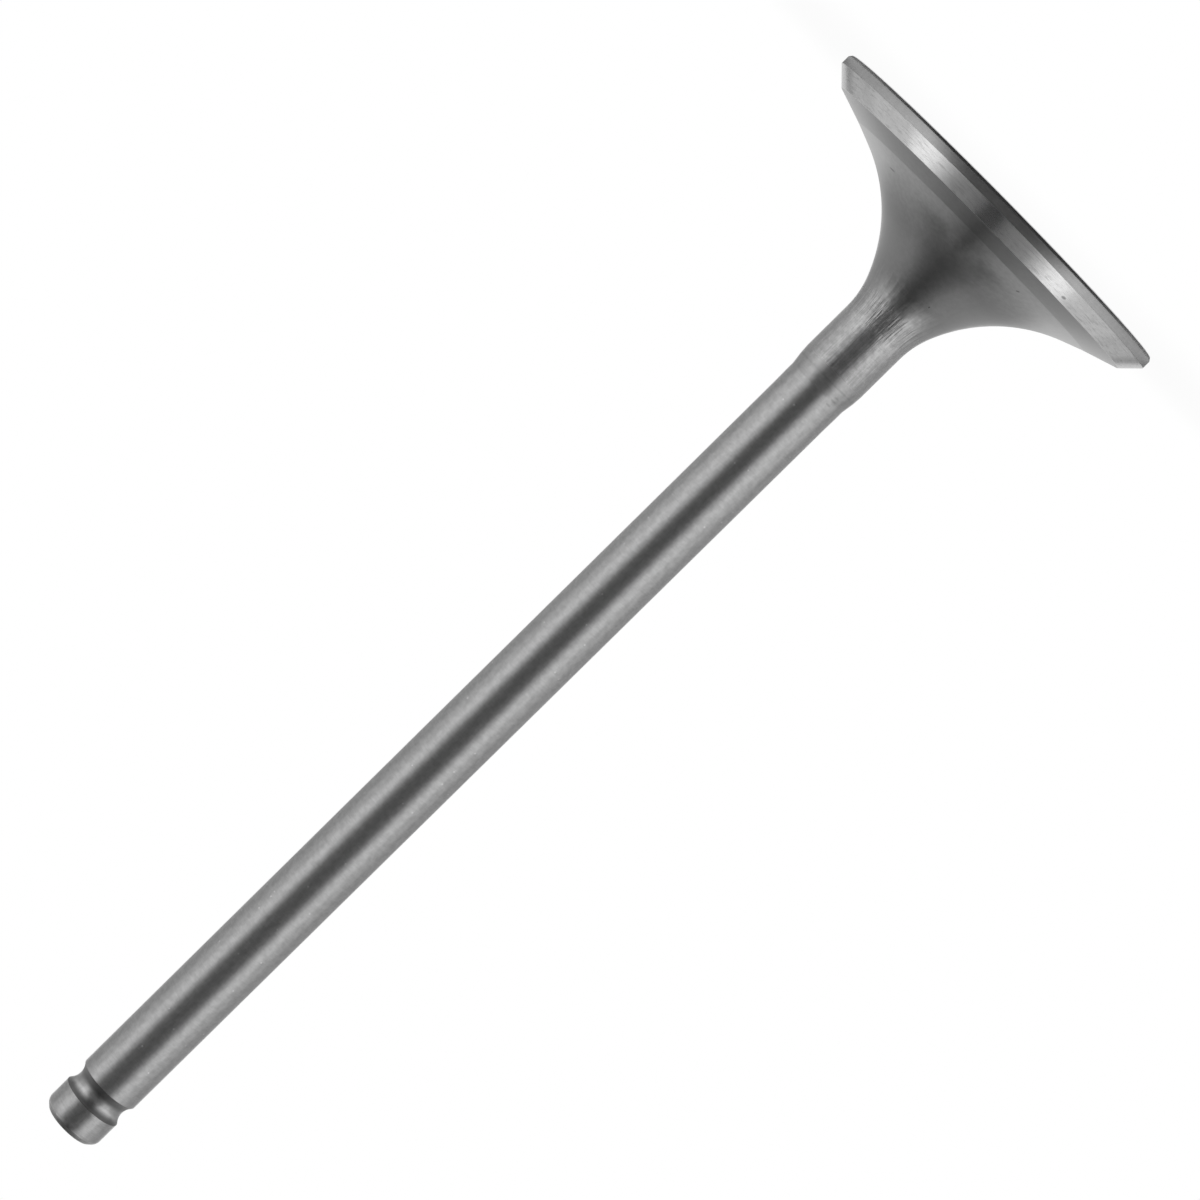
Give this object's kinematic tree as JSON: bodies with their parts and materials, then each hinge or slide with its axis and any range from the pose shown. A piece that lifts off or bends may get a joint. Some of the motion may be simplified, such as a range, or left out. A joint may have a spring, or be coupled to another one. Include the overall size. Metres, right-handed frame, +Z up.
{
  "type": "engine valve",
  "caption": "Poppet valve for an engine: flat-faced head with a 45 degree seat, hollow swept underhead, thicker neck, ground stem, round-bottomed keeper groove and chamfered tip.",
  "frame": {"origin": "centre of the flat combustion face, on which the valve stands", "axes": "+Z up the stem from the head to the tip; +X and +Y lie in the combustion face and are alike, because the valve is turned"},
  "size_m": [0.0486, 0.0486, 0.1517],
  "materials": {
    "valve_steel": "ground and turned steel, satin, with a duller forged underhead"
  },
  "bodies": {
    "root": {"valve": "valve_steel"}
  },
  "joints": []
}
